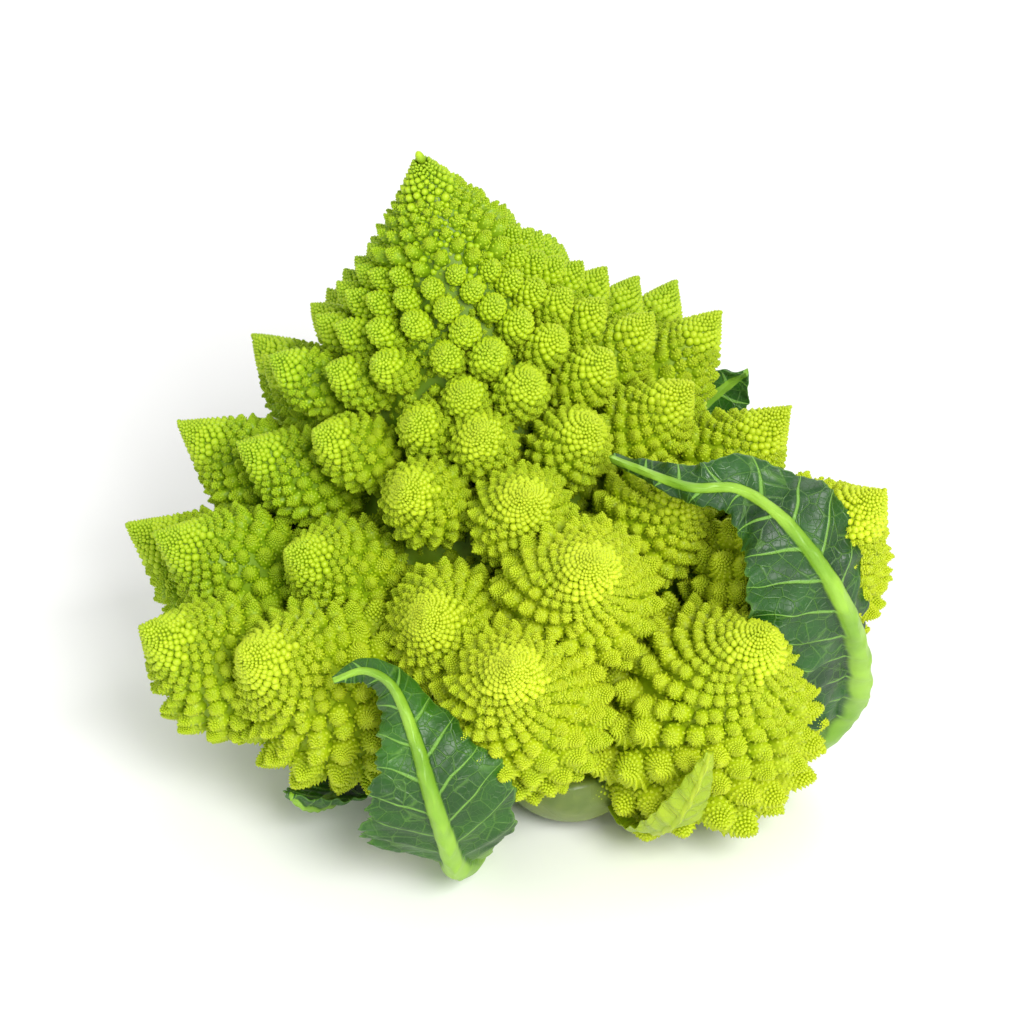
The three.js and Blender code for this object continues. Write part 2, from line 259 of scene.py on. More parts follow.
class Shape:
    """Vertices, triangles and per-vertex numbers, to be joined into one mesh."""

    def __init__(self, points, triangles, **marks):
        self.points = np.asarray(points, float)
        self.triangles = np.asarray(triangles, int)
        each = len(self.points)
        self.marks = {name: np.broadcast_to(np.asarray(v, float), each).copy() for name, v in marks.items()}

    @staticmethod
    def joined(shapes):
        starts = np.cumsum([0] + [len(s.points) for s in shapes[:-1]])
        points = np.concatenate([s.points for s in shapes])
        triangles = np.concatenate([s.triangles + start for s, start in zip(shapes, starts)])
        marks = {name: np.concatenate([s.marks[name] for s in shapes]) for name in shapes[0].marks}
        return Shape(points, triangles, **marks)

    def repeated(self, places, turns, sizes, **marks):
        """This shape at each place, turned by each 3x3 matrix and sized; marks give one number per copy."""
        points = np.einsum("nij,vj->nvi", turns * sizes[:, None, None], self.points) + places[:, None]
        many, each = len(places), len(self.points)
        triangles = self.triangles[None] + each * np.arange(many)[:, None, None]
        kept = {name: np.tile(values, many) for name, values in self.marks.items()}
        kept.update({name: np.repeat(values, each) for name, values in marks.items()})
        return Shape(points.reshape(-1, 3), triangles.reshape(-1, 3), **kept)


def turned(profile, sides, twist=0.0):
    """A closed solid of revolution from axis to axis; its rise is 1 at the tip and 0 at the widest."""
    radius, depth = np.array(profile, float).T
    rings = len(radius) - 2
    around = 2 * np.pi * np.arange(sides) / sides
    turn = around[None] + twist * np.arange(rings)[:, None]
    ring = np.stack([radius[1:-1, None] * np.cos(turn), radius[1:-1, None] * np.sin(turn),
                     -np.repeat(depth[1:-1, None], sides, 1)], -1).reshape(-1, 3)
    points = np.vstack([[0, 0, -depth[0]], ring, [0, 0, -depth[-1]]])
    here = np.arange(sides)
    beside = (here + 1) % sides
    triangles = [np.stack([np.zeros(sides, int), 1 + here, 1 + beside], 1)]
    for k in range(rings - 1):
        a, b = 1 + k * sides + here, 1 + k * sides + beside
        triangles += [np.stack([a, a + sides, b], 1), np.stack([b, a + sides, b + sides], 1)]
    foot = 1 + (rings - 1) * sides
    triangles.append(np.stack([foot + beside, foot + here, np.full(sides, len(points) - 1)], 1))
    widest = depth[np.argmax(radius)]
    rise = 1 - np.clip(-points[:, 2] / widest, 0, 1)
    return Shape(points, np.concatenate(triangles), rise=rise)


def standing(axes, spin):
    """Matrices that stand +Z along each axis, turned about it by spin."""
    up = np.tile([0.0, 0.0, 1.0], (len(axes), 1))
    side = np.cross(up, axes)
    level = np.linalg.norm(side, axis=1, keepdims=True)
    side = np.where(level > 1e-6, side / np.maximum(level, 1e-6), [1.0, 0.0, 0.0])
    other = np.cross(axes, side)
    c, s = np.cos(spin)[:, None], np.sin(spin)[:, None]
    return np.stack([c * side + s * other, c * other - s * side, axes], 2)


def plain_bud(sides, rings, profile=BUD_PROFILE):
    """A bud as a closed pointed dome, of radius 1 with its tip at the origin."""
    radius, depth, run = arc_of(profile)
    at = np.linspace(0, 1, rings + 2) ** 0.8 * run[-1]
    at[-1] = run[-1]
    return turned(np.stack([np.interp(at, run, radius), np.interp(at, run, depth)], 1), sides, np.pi / sides)


def beaded_bud(sides, rings, spacing, bead, reach, profile=BUD_PROFILE):
    """A bud covered with smaller beads on its own spiral, down to a depth of reach."""
    body = plain_bud(sides, rings, profile)
    body.points *= (BEADED_WIDTH, BEADED_WIDTH, 1)
    body.points[:, 2] -= BEADED_SINK
    body.marks["rise"] = BEADED_RISE * body.marks["rise"]
    spiral = spiral_on(profile, 1.0, spacing, spacing * BEAD_TIP_SPACING)
    radius, depth, apart, azimuth = (values[spiral[1] < reach] for values in spiral)
    turns = standing(pointing(BEAD_TILT, azimuth), azimuth)
    beads = bead.repeated(polar(radius, azimuth, -depth), turns, BEAD_FILL * apart)
    # Beads lower on a bud get a smaller rise, so less painted highlight and more painted crease shade
    high = 0.6 + 0.4 * np.clip(1 - np.repeat(depth, len(bead.points)), 0, 1)
    beads.marks["rise"] = BEAD_RISE + (1 - BEAD_RISE) * beads.marks["rise"] * high
    return Shape.joined([body, beads])


def bud_shapes():
    """Bud shapes from coarse to fine, each with the least radius in millimetres that it is used for."""
    speck = plain_bud(5, 1)
    bead = plain_bud(6, 2)
    drop = plain_bud(8, 3)
    rough = beaded_bud(7, 2, 0.66, speck, 1.4)
    fine = beaded_bud(8, 4, 0.5, speck, 1.5, SPIKE_PROFILE)
    grand = beaded_bud(12, 5, 0.36, plain_bud(6, 1), 1.6, SPIKE_PROFILE)
    return [(0, speck), (0.3, bead), (0.62, drop), (1.15, rough), (2.1, fine), (3.6, grand)]


BUDS = bud_shapes()


def rim_at(azimuth):
    """How far the head reaches round its axis, smoothly further in front."""
    start, stop = RIM_TURN
    share = np.clip((-math.sin(azimuth) - start) / (stop - start), 0, 1)
    return BACK_RIM + (FRONT_RIM - BACK_RIM) * share * share * (3 - 2 * share)


def leaned(points):
    """Points of the upright head as they stand with the head's lean."""
    c, s = math.cos(LEAN), math.sin(LEAN)
    x, y, z = np.moveaxis(np.asarray(points, float), -1, 0)
    return np.stack([x * c - z * s, y, x * s + z * c], -1)


def spiral_florets():
    """Every floret from the stalk up, leaned: tip, axis and radius."""
    florets = []
    reach = WIDEST_REACH
    for index in range(FLORETS):
        around, outgrown, raised, size = STRAYS.get(index, (0, 0, 0, 1))
        azimuth = FIRST_AZIMUTH + DIVERGENCE * index + math.radians(around)
        held = reach / (1 + (reach / rim_at(azimuth)) ** RIM_SHARPNESS) ** (1 / RIM_SHARPNESS)
        cone_depth = reach / math.tan(CONE_HALF_ANGLE)
        sunk = DEEPEST_TIP * math.tanh(cone_depth / DEEPEST_TIP) + DROOP * (reach - held)
        low = max(0, LOW_FLORETS - index)
        tilt = FLORET_TILT - LOW_TILT * (low / LOW_FLORETS) * math.sin(azimuth)
        distance = held + outgrown * math.cos(tilt)
        depth = sunk - raised - outgrown * math.sin(tilt)
        crowded = min(1, max(0, (index - CROWDING[0]) / (CROWDING[1] - CROWDING[0])))
        radius = FLORET_RADIUS * held * (1 + LOW_SWELL * low) * size * (1 - CROWDED_SIZE * crowded)
        if radius < SMALLEST_BUD:
            break
        tip = leaned(polar(distance, azimuth, APEX_HEIGHT - depth))
        axis = leaned(pointing(tilt, azimuth))
        florets.append({"index": index, "tip": tip, "axis": axis, "radius": radius})
        settled = 1 / (1 + math.exp((STEP_CHANGE - index) / STEP_SOFTNESS))
        reach *= math.exp(-(LOW_STEP + (HIGH_STEP - LOW_STEP) * settled))
    return florets


def buried(points, florets, skip, margin):
    """True for each point that lies inside the body of a floret other than the one skipped."""
    hidden = np.zeros(len(points), bool)
    radius, depth, _ = arc_of(CONE_PROFILE)
    for floret in florets:
        if floret["index"] == skip:
            continue
        size = floret["radius"]
        if np.linalg.norm(floret["tip"] - points.mean(0)) > NEARBY[0] * size + NEARBY[1]:
            continue
        away = points - floret["tip"]
        down = -away @ floret["axis"]
        out = np.linalg.norm(away + down[:, None] * floret["axis"], axis=1)
        room = np.interp(down / size, depth, radius, left=0, right=0) * size - margin * size
        hidden |= (out < room) & (down > 0)
    return hidden


def cone_profile(size):
    """A floret's outline: small ones are domes, large ones come to a point."""
    pointed = np.clip((size - ROUND_SIZE) / (POINTED_SIZE - ROUND_SIZE), 0, 1) ** POINTING_POWER
    return pointed * np.array(CONE_PROFILE) + (1 - pointed) * np.array(ROUND_PROFILE)


def floret_shapes(floret, florets, rng):
    """One floret: its body and the buds that can be seen on it."""
    size, tip, axis = floret["radius"], floret["tip"], floret["axis"]
    outline = cone_profile(size)
    turn = standing(axis[None], np.zeros(1))[0]
    spacing = BUD_SPACING * (1 + SMALL_COARSENESS * (1 - min(1, size / POINTED_SIZE)))
    radius, depth, apart, azimuth = spiral_on(outline, size, spacing, TIP_SPACING)
    azimuth = azimuth + rng.uniform(0, 2 * np.pi) + rng.normal(0, TURN_JITTER, len(radius))
    jitter = rng.normal(1, SIZE_JITTER, len(radius))
    local = polar(radius, azimuth, -depth)
    places = tip + local @ turn.T
    inner = places - BUD_FOOT * apart[:, None] * unit((local * (1, 1, 0)) @ turn.T + 1e-9)
    hidden = buried(places, florets, floret["index"], BURIED_MARGIN) | in_core(inner)
    shown = ~hidden & (places[:, 2] > LOWEST_BUD)
    tilt = BUD_TILT * np.interp(depth / size, *zip(*TILT_BY_DEPTH))
    lean = pointing(tilt, azimuth)
    axes = unit(lean + rng.normal(0, LEAN_JITTER, lean.shape)) @ turn.T
    sizes = BUD_FILL * apart * jitter
    start, stop = SPIKE_SIZES
    proud = SPIKE_RISE * np.clip((sizes - start) / (stop - start), 0, 1)
    proud = proud * rng.uniform(*SPIKE_SPREAD, len(sizes))
    places = places + (proud * sizes)[:, None] * axes
    spin = rng.uniform(0, 2 * np.pi, len(radius))
    tipward = 1 - np.clip(depth / (TIPWARD_DEPTH * size), 0, 1)
    shade = rng.uniform(0, 1, len(radius))
    buds = sized_buds(places, axes, spin, sizes, shown, {"tipward": tipward, "shade": shade})
    return [floret_body(size, outline, spacing, tip, turn), *buds]


def cleft_shapes(florets, rng):
    """The buds on the shared flesh that show in the clefts between florets."""
    depths = np.linspace(CLEFT_APART[0][0], CLEFT_APART[-1][0], CLEFT_ROWS)
    profile = np.stack([core_radius(depths), depths], 1)
    run = np.concatenate([[0], np.cumsum(np.linalg.norm(np.diff(profile, axis=0), axis=1))])
    apart = np.interp(depths, *zip(*CLEFT_APART))
    count = held_down_to(profile[:, 0], run, apart)
    index = np.arange(int(count[-1]))
    radius, depth, width = (np.interp(index, count, values) for values in (profile[:, 0], depths, apart))
    azimuth = index * GOLDEN_ANGLE
    sizes = BUD_FILL * width * rng.normal(1, CLEFT_SIZE_JITTER, len(index))
    radius = radius + rng.uniform(*CLEFT_RISE, len(index)) * sizes
    places = nodded(leaned(polar(radius, azimuth, APEX_HEIGHT - depth)))
    axes = leaned(pointing(CLEFT_TILT, azimuth))
    spin = rng.uniform(0, 2 * np.pi, len(index))
    shown = ~buried(places, florets, None, CLEFT_MARGIN) & (places[:, 2] > LOWEST_BUD)
    # Cleft buds have no tipward mark, so they take the strongest painted crease shade and no tip highlight
    marks = {"tipward": np.zeros(len(index)), "shade": rng.uniform(0.3, 1, len(index))}
    return sized_buds(places, axes, spin, sizes, shown, marks)


def sized_buds(places, axes, spin, sizes, shown, marks):
    """The buds shown, each in the shape that suits its size."""
    shapes = []
    for k, (least, bud) in enumerate(BUDS):
        most = BUDS[k + 1][0] if k + 1 < len(BUDS) else np.inf
        pick = shown & (sizes >= least) & (sizes < most)
        if pick.any():
            runs = math.ceil(pick.sum() * len(bud.triangles) / MOST_IN_RUN)
            for some in np.array_split(np.flatnonzero(pick), runs):
                kept = {name: values[some] for name, values in marks.items()}
                turns = standing(axes[some], spin[some])
                shapes.append(bud.repeated(places[some], turns, sizes[some], **kept))
    return shapes


def floret_body(size, outline, spacing, tip, turn):
    """The cone under a floret's buds."""
    radius, depth, run = arc_of([*outline, (0, BODY_FOOT)])
    at = np.linspace(0, run[-1], BODY_ROWS)
    widest = np.maximum.accumulate(radius)
    inset = BODY_DEPTH * BUD_FILL * np.maximum(spacing * widest, TIP_SPACING / size)
    radius = np.maximum(radius - BODY_INSET[0] * inset, 0)
    depth = depth + BODY_INSET[1] * inset
    profile = np.stack([np.interp(at, run, radius), np.interp(at, run, depth)], 1)
    profile[0, 0] = profile[-1, 0] = 0
    body = turned(profile, BODY_SIDES)
    body.points = kept_up(tip + size * body.points @ turn.T)
    each = len(body.points)
    # A floret's body has no rise, so it takes the full painted crease shade
    body.marks = {"rise": np.zeros(each), "tipward": body.marks["rise"], "shade": np.full(each, 0.5)}
    return body


def kept_up(points):
    """Points with whatever hangs below the head's underside drawn up to it."""
    hanging = points[:, 2] < UNDERSIDE
    points[:, 2] = np.where(hanging, UNDERSIDE + UNDERSIDE_SAG * (points[:, 2] - UNDERSIDE), points[:, 2])
    return points


def core_radius(depth):
    """Radius of the shared flesh at a depth below the apex."""
    high = np.interp(depth, *zip(*CORE_SHARES)) * depth * math.tan(CONE_HALF_ANGLE)
    return np.minimum(np.minimum(CORE_WAIST, high), np.interp(depth, *zip(*CORE_FOOT)))


def in_core(points):
    """True for each point inside the flesh that all florets share."""
    c, s = math.cos(LEAN), math.sin(LEAN)
    x, y, z = points.T
    across, up = x * c + z * s, -x * s + z * c
    depth = APEX_HEIGHT - up
    out = np.hypot(across, y)
    return (out < core_radius(depth)) & (depth > 0) & (up > STALK_HEIGHT)


def mesh_object(name, shape, material):
    """A Blender object from a Shape, its millimetres made metres and its marks kept as attributes."""
    mesh = bpy.data.meshes.new(name)
    mesh.vertices.add(len(shape.points))
    mesh.vertices.foreach_set("co", (shape.points * MM).ravel())
    count = len(shape.triangles)
    mesh.loops.add(3 * count)
    mesh.loops.foreach_set("vertex_index", shape.triangles.ravel().astype(np.int32))
    mesh.polygons.add(count)
    mesh.polygons.foreach_set("loop_start", np.arange(0, 3 * count, 3, dtype=np.int32))
    mesh.polygons.foreach_set("loop_total", np.full(count, 3, np.int32))
    mesh.polygons.foreach_set("use_smooth", np.full(count, True))
    mesh.update(calc_edges=True)
    for mark, values in shape.marks.items():
        mesh.attributes.new(mark, "FLOAT", "POINT").data.foreach_set("value", values.astype(np.float32))
    mesh.materials.append(material)
    obj = bpy.data.objects.new(name, mesh)
    bpy.context.collection.objects.link(obj)
    return obj


def place(obj, slot, node):
    """Sets an object on the head in place of a CAD node."""
    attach(obj, "root")
    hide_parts(node)


def frustum(start, end, start_radius, end_radius, sides=16):
    """A closed round bar between two points."""
    run = np.asarray(end, float) - start
    length = np.linalg.norm(run)
    profile = [(0, 0), (end_radius, 0), (start_radius, length), (0, length)]
    bar = turned(profile, sides)
    bar.points = end + bar.points @ standing((run / length)[None], np.zeros(1))[0].T
    return bar


def core_shape():
    """The solid flesh inside the florets, from the stalk to just under the crown's buds."""
    depths = np.array(CORE_DEPTHS)
    profile = [(0, depths[0]), *zip(core_radius(depths[1:]), depths[1:]), (0, depths[-1])]
    core = turned(profile, CORE_SIDES)
    core.points = nodded(leaned(core.points + (0, 0, APEX_HEIGHT)))
    return core


def flesh_object(florets, material):
    """The core and its branches, melted into one."""
    root = leaned([0, 0, ROOT_HEIGHT])
    shapes = [core_shape()]
    for floret in florets[:BRANCHED_FLORETS]:
        size = floret["radius"]
        end = floret["tip"] - BRANCH_STOP * size * floret["axis"]
        shapes.append(frustum(root, end, BRANCH_ROOT * size, BRANCH_END * size))
    joined = Shape.joined(shapes)
    joined.points = kept_up(joined.points)
    obj = mesh_object("curd_branches", joined, material)
    remesh = {"mode": "VOXEL", "voxel_size": FLESH_VOXEL * MM, "use_smooth_shade": True}
    for kind, settings in (("REMESH", remesh), ("SMOOTH", FLESH_SMOOTHING)):
        modifier = obj.modifiers.new(kind.title(), kind)
        for name, value in settings.items():
            setattr(modifier, name, value)
    applied(obj)
    return obj


def applied(obj):
    """Replaces an object's mesh with what its modifiers make of it."""
    done = bpy.data.meshes.new_from_object(obj.evaluated_get(bpy.context.evaluated_depsgraph_get()))
    done.name = obj.name
    obj.modifiers.clear()
    obj.data = done


# The cut stem: its radius at shares of its height, its flutes (how deep, how many, where they start and how
# they wind), and its leaf scars
STALK_ROWS, STALK_SIDES = 90, 180
STALK_SHARES = [0, 0.03, 0.3, 0.75, 1]
STALK_RADII = [STALK_RADIUS - 1.5, STALK_RADIUS, STALK_BULGE - 0.6, STALK_BULGE - 0.6, STALK_RADIUS]
FLUTES = [(0.012, 5, 1.3, 0), (0.008, 11, 0, 3)]
SCARS = 9
SCAR_SPAN = (0.42, 0.055)  # half-width in radians, and half-height as a share of the stalk's
SCAR_RISE, SCAR_DIP = 1.4, 0.9
CUT_HOLLOW = 0.35
CUT_RINGS = (0.25, 0.5, 0.75, 0.93)


def stalk_shape():
    """The cut stem: slightly fluted, with leaf scars round it, a rounded rim and a faintly hollow cut."""
    height = np.linspace(0, STALK_HEIGHT, STALK_ROWS)
    share = (height / STALK_HEIGHT)[:, None]
    around = 2 * np.pi * np.arange(STALK_SIDES) / STALK_SIDES
    flutes = sum(deep * np.sin(many * around + start + wind * share) for deep, many, start, wind in FLUTES)
    radius = np.interp(share, STALK_SHARES, STALK_RADII) * (1 + flutes)
    for k, angle in enumerate(np.arange(SCARS) * GOLDEN_ANGLE):
        middle = 0.2 + 0.6 * ((k * 0.37) % 1)
        apart = np.angle(np.exp(1j * (around - angle)))
        wide, high = SCAR_SPAN
        scar = np.exp(-((apart / wide) ** 4)[None] - ((share - middle - 0.1 * apart**2) / high) ** 2)
        radius = radius + SCAR_RISE * scar - SCAR_DIP * np.roll(scar, -7, 0)
    radius = np.minimum(radius, STALK_BULGE + 0.4)
    rings = [polar(part * radius[0], around, CUT_HOLLOW * (1 - part * part)) for part in CUT_RINGS]
    rings = np.concatenate([np.stack(rings), polar(radius, around, height[:, None])])
    sides = STALK_SIDES
    points = np.vstack([[0, 0, CUT_HOLLOW], rings.reshape(-1, 3), [0, 0, STALK_HEIGHT]])
    here, beside = np.arange(sides), (np.arange(sides) + 1) % sides
    triangles = [np.stack([np.zeros(sides, int), 1 + beside, 1 + here], 1)]
    for k in range(len(rings) - 1):
        a, b = 1 + k * sides + here, 1 + k * sides + beside
        triangles += [np.stack([a, b, a + sides], 1), np.stack([b, b + sides, a + sides], 1)]
    top = 1 + (len(rings) - 1) * sides
    triangles.append(np.stack([top + here, top + beside, np.full(sides, len(points) - 1)], 1))
    points[:, 0] -= points[:, 2] * math.tan(LEAN)
    return Shape(points, np.concatenate(triangles), rise=0.0)


# Leaves: stations from the stalk to the tip, with the side that the midrib bulges to
# (place, rib side, left half-width, right half-width, midrib thickness)
LEAVES = {
    "front_leaf": [
        ((-6, -33, 8), (0, 0, -1), 7, 7, 4),
        ((-10, -55, 6), (0, -0.1, -1), 6, 6, 4),
        ((-12.5, -76, 6), (0, -0.5, -0.8), 6, 6, 4),
        ((-14, -89, 14), (0, -1, -0.3), 11, 10, 3.5),
        ((-16, -96.5, 28), (0, -1, 0.1), 18, 16, 3),
        ((-19, -98.5, 42), (0.1, -1, 0.3), 14, 17, 2.4),
        ((-22.5, -93, 53), (0.1, -0.9, 0.5), 8, 10, 1.8),
        ((-27, -87, 62), (0, -0.8, 0.6), 4, 4, 1.2),
        ((-33, -86, 66), (-0.1, -0.8, 0.6), 3, 3, 0.8),
        ((-40, -88, 65), (-0.1, -0.8, 0.6), 0.8, 0.8, 0.4),
    ],
    "side_leaf": [
        ((29, -13, 12), (0, 0, -1), 8, 8, 5),
        ((50, -28, 7), (0.2, -0.2, -1), 7, 7, 5),
        ((67, -42, 12), (0.8, -0.4, -0.6), 6, 6, 5),
        ((76, -48, 28), (1, -0.5, -0.1), 14, 5.5, 5),
        ((77, -56, 46), (0.8, -0.8, 0.1), 19, 6, 4),
        ((71.5, -66, 70), (0.4, -0.9, 0.3), 21, 9, 2.4),
        ((60, -64, 88), (0.2, -0.8, 0.5), 13, 13, 1.4),
        ((49, -56, 93), (0.1, -0.8, 0.6), 7, 8, 1),
        ((37, -56, 94), (0, -0.8, 0.6), 3, 5, 0.9),
        ((21, -42, 92), (0, -0.8, 0.6), 1, 1.5, 0.6),
    ],
    "back_leaf": [
        ((10, 29, 12), (0, 0, -1), 7, 7, 4),
        ((24, 50, 8), (0.1, 0.3, -1), 9, 9, 3.5),
        ((38, 64, 18), (0.3, 0.8, -0.5), 15, 14, 3),
        ((48, 68, 34), (0.4, 1, 0), 15, 14, 2.2),
        ((56, 66, 44), (0.5, 1, 0.3), 7, 7, 1.4),
        ((60, 62, 50), (0.5, 1, 0.4), 1, 1, 0.5),
    ],
    "under_leaf": [
        ((-22, -22, 12), (0, 0, -1), 6, 6, 4),
        ((-34, -42, 7), (0, -0.2, -1), 9, 8, 3),
        ((-42, -58, 8), (-0.1, -0.4, -1), 11, 9, 2),
        ((-48, -68, 13), (-0.3, -0.8, -0.6), 7, 6, 1.2),
        ((-52, -72, 19), (-0.4, -0.8, -0.3), 1, 1, 0.5),
    ],
    "leaf_stub": [
        ((5, -30, 9), (0, 0, -1), 9, 9, 5),
        ((9, -45, 6.5), (0, -0.1, -1), 12, 12, 5),
        ((12, -58, 7), (0, -0.4, -1), 13, 13, 5),
        ((13, -66, 13), (0, -1, -0.4), 11, 11, 3.5),
        ((13, -68, 20), (0, -1, 0), 8, 8, 2),
    ],
    "bract": [
        ((20, -46, 12), (0.2, -0.5, -1), 4, 4, 2),
        ((28, -72, 12), (0.3, -0.6, -0.8), 5.5, 6, 1.2),
        ((34, -86, 22), (0.3, -1, 0), 5.5, 7, 0.8),
        ((38.5, -91, 35), (0.2, -1, 0.2), 3.5, 4.5, 0.6),
        ((42, -92, 48), (0.2, -1, 0.4), 1, 1, 0.4),
    ],
}
# How ragged the margin is and how deeply the blade waves, in millimetres; how far apart the side veins are;
# how strong the net between them is; a random seed; the share that is bare stem; and the midrib's half-width,
# times its thickness
LOOKS = ("ragged", "wave", "veins", "net", "seed", "stem", "rib")
LEAF_LOOKS = {
    "front_leaf": dict(zip(LOOKS, (1.3, 1.3, 8.5, 0.35, 1, 0.36, 0.62))),
    "side_leaf": dict(zip(LOOKS, (1.2, 1.6, 9.5, 0.32, 2, 0.26, 0.8))),
    "back_leaf": dict(zip(LOOKS, (1.2, 1.5, 8.5, 0.35, 3, 0.3, 0.6))),
    "under_leaf": dict(zip(LOOKS, (2.0, 1.2, 6.0, 0.3, 4, 0.2, 0.6))),
    "leaf_stub": dict(zip(LOOKS, (0.8, 0.4, 9.0, 0.1, 5, 0.9, 2.2))),
    "bract": dict(zip(LOOKS, (0.2, 0.6, 6.0, 0.05, 6, 0.25, 0.5))),
}
LEAF_ROWS, LEAF_COLUMNS = 240, 66
BLADE = 0.5  # half the thickness of a leaf's blade
LEAF_CUP = 0.1
PUFF = 0.9  # how far the blade swells between its veins
VEIN_BOW = 0.8
VEIN_CURVE = 0.95
VEIN_STAGGER = 0.45  # of the pitch, between the veins on the two sides
VEIN_WIDTH, PUFF_WIDTH = 1.1, 2.2
VEIN_RISE = 0.25
STEM_FADE = 0.12  # share of the length over which a stem opens into a blade
STEM_WIDTH = 3.0  # how much further a stem reaches to each side than a midrib
COLUMN_CROWDING = 1.15


def wander(at, rng, waves, finest):
    """A smooth random line of about unit height, along values given in millimetres."""
    line = np.zeros(np.shape(at))
    for k in range(waves):
        pitch = finest * 1.8**k
        wave = rng.normal() * 0.6 * np.sin(2 * np.pi * at / pitch + rng.uniform(0, 6.3))
        line += wave * (0.5 + 0.5 * k / waves)
    return line


def leaf_shape(stations, looks):
    """A leaf as a thin closed blade with raised veins and a bulging midrib."""
    rng = np.random.default_rng(SEED + looks["seed"])
    table = np.array([[*at, *rib, left, right, thick] for at, rib, left, right, thick in stations], float)
    read = smooth_through(table, np.linspace(0, len(table) - 1, LEAF_ROWS))
    spine, rib = read[:, :3], read[:, 3:6]
    left, right, thick = np.maximum(read[:, 6:].T, 0.3)[..., None]
    along = unit(np.gradient(spine, axis=0))
    outward = unit(rib - np.sum(rib * along, 1, keepdims=True) * along)
    across = np.cross(along, outward)
    run = np.concatenate([[0], np.cumsum(np.linalg.norm(np.diff(spine, axis=0), axis=1))])[:, None]
    column = np.linspace(-1, 1, LEAF_COLUMNS)
    column = (np.sign(column) * np.abs(column) ** COLUMN_CROWDING)[None]
    open_here = np.clip((run / run[-1] - looks["stem"]) / STEM_FADE, 0, 1)
    margins = []
    for half in (left, right):
        teeth = looks["ragged"] * (0.6 * wander(run, rng, 6, 1.9) + 0.3 * wander(run, rng, 2, 11))
        margins.append(np.maximum(half + open_here * np.clip(half / 9, 0.1, 1) * teeth, 0.5))
    reach = column * np.where(column < 0, margins[0], margins[1])
    blade = np.broadcast_to(open_here, (LEAF_ROWS, LEAF_COLUMNS))
    cupped = LEAF_CUP * column**2 * (left + right)
    wave = blade * looks["wave"] * np.abs(column) ** 1.5 * wander(run + 0.4 * np.abs(reach), rng, 4, 9.0)
    near = vein_distance(run, reach, column, looks["veins"])
    ridge = blade * np.exp(-((near / VEIN_WIDTH) ** 2)) * (1 - np.abs(column)) ** 0.5
    puff = blade * PUFF * (1 - np.exp(-((near / PUFF_WIDTH) ** 2))) * np.abs(column) ** 0.5
    rib_half = looks["rib"] * thick + 0.4 + STEM_WIDTH * (1 - open_here)
    rib_here = np.clip(1 - np.abs(reach) / rib_half, 0, 1)
    rib_here = np.sqrt(rib_here * (2 - rib_here))
    sunk = (wave - cupped - puff)[..., None] * outward[:, None]
    middle = spine[:, None] + reach[..., None] * across[:, None] + sunk
    edge = np.sqrt(np.maximum(1 - np.abs(column) ** 6, 0.02))
    outer = middle + (BLADE * edge + thick * rib_here + VEIN_RISE * ridge)[..., None] * outward[:, None]
    inner = middle - (BLADE * edge + 0.12 * thick * rib_here)[..., None] * outward[:, None]
    marks = {"midrib": rib_here, "blade": blade, "length": run, "width": reach, "edge": np.abs(column)}
    return leaf_skin(outer, inner, marks)


def vein_distance(run, reach, column, pitch):
    """Millimetres from the nearest side vein; veins leave the midrib in turn and bow toward the tip."""
    phase = (run - VEIN_BOW * np.abs(reach) ** VEIN_CURVE) / pitch + np.where(column < 0, 0.0, VEIN_STAGGER)
    return np.abs(phase - np.round(phase)) * pitch


def leaf_skin(outer, inner, marks):
    """The closed surface between a leaf's two faces."""
    rows, columns = outer.shape[:2]
    each = rows * columns
    grid = np.arange(each).reshape(rows, columns)
    corners = grid[:-1, :-1], grid[:-1, 1:], grid[1:, 1:], grid[1:, :-1]
    a, b, c, d = (corner.ravel() for corner in corners)
    faces = [np.stack([a, b, c], 1), np.stack([a, c, d], 1)]
    faces += [np.stack([a, c, b], 1) + each, np.stack([a, d, c], 1) + each]
    border = np.concatenate([grid[0], grid[1:, -1], grid[-1, -2::-1], grid[-2:0:-1, 0]])
    after = np.roll(border, -1)
    faces += [np.stack([border, border + each, after], 1), np.stack([after, border + each, after + each], 1)]
    full = {name: np.broadcast_to(values, (rows, columns)).ravel() for name, values in marks.items()}
    both = {name: np.tile(values, 2) for name, values in full.items()}
    return Shape(np.concatenate([outer.reshape(-1, 3), inner.reshape(-1, 3)]), np.concatenate(faces), **both)


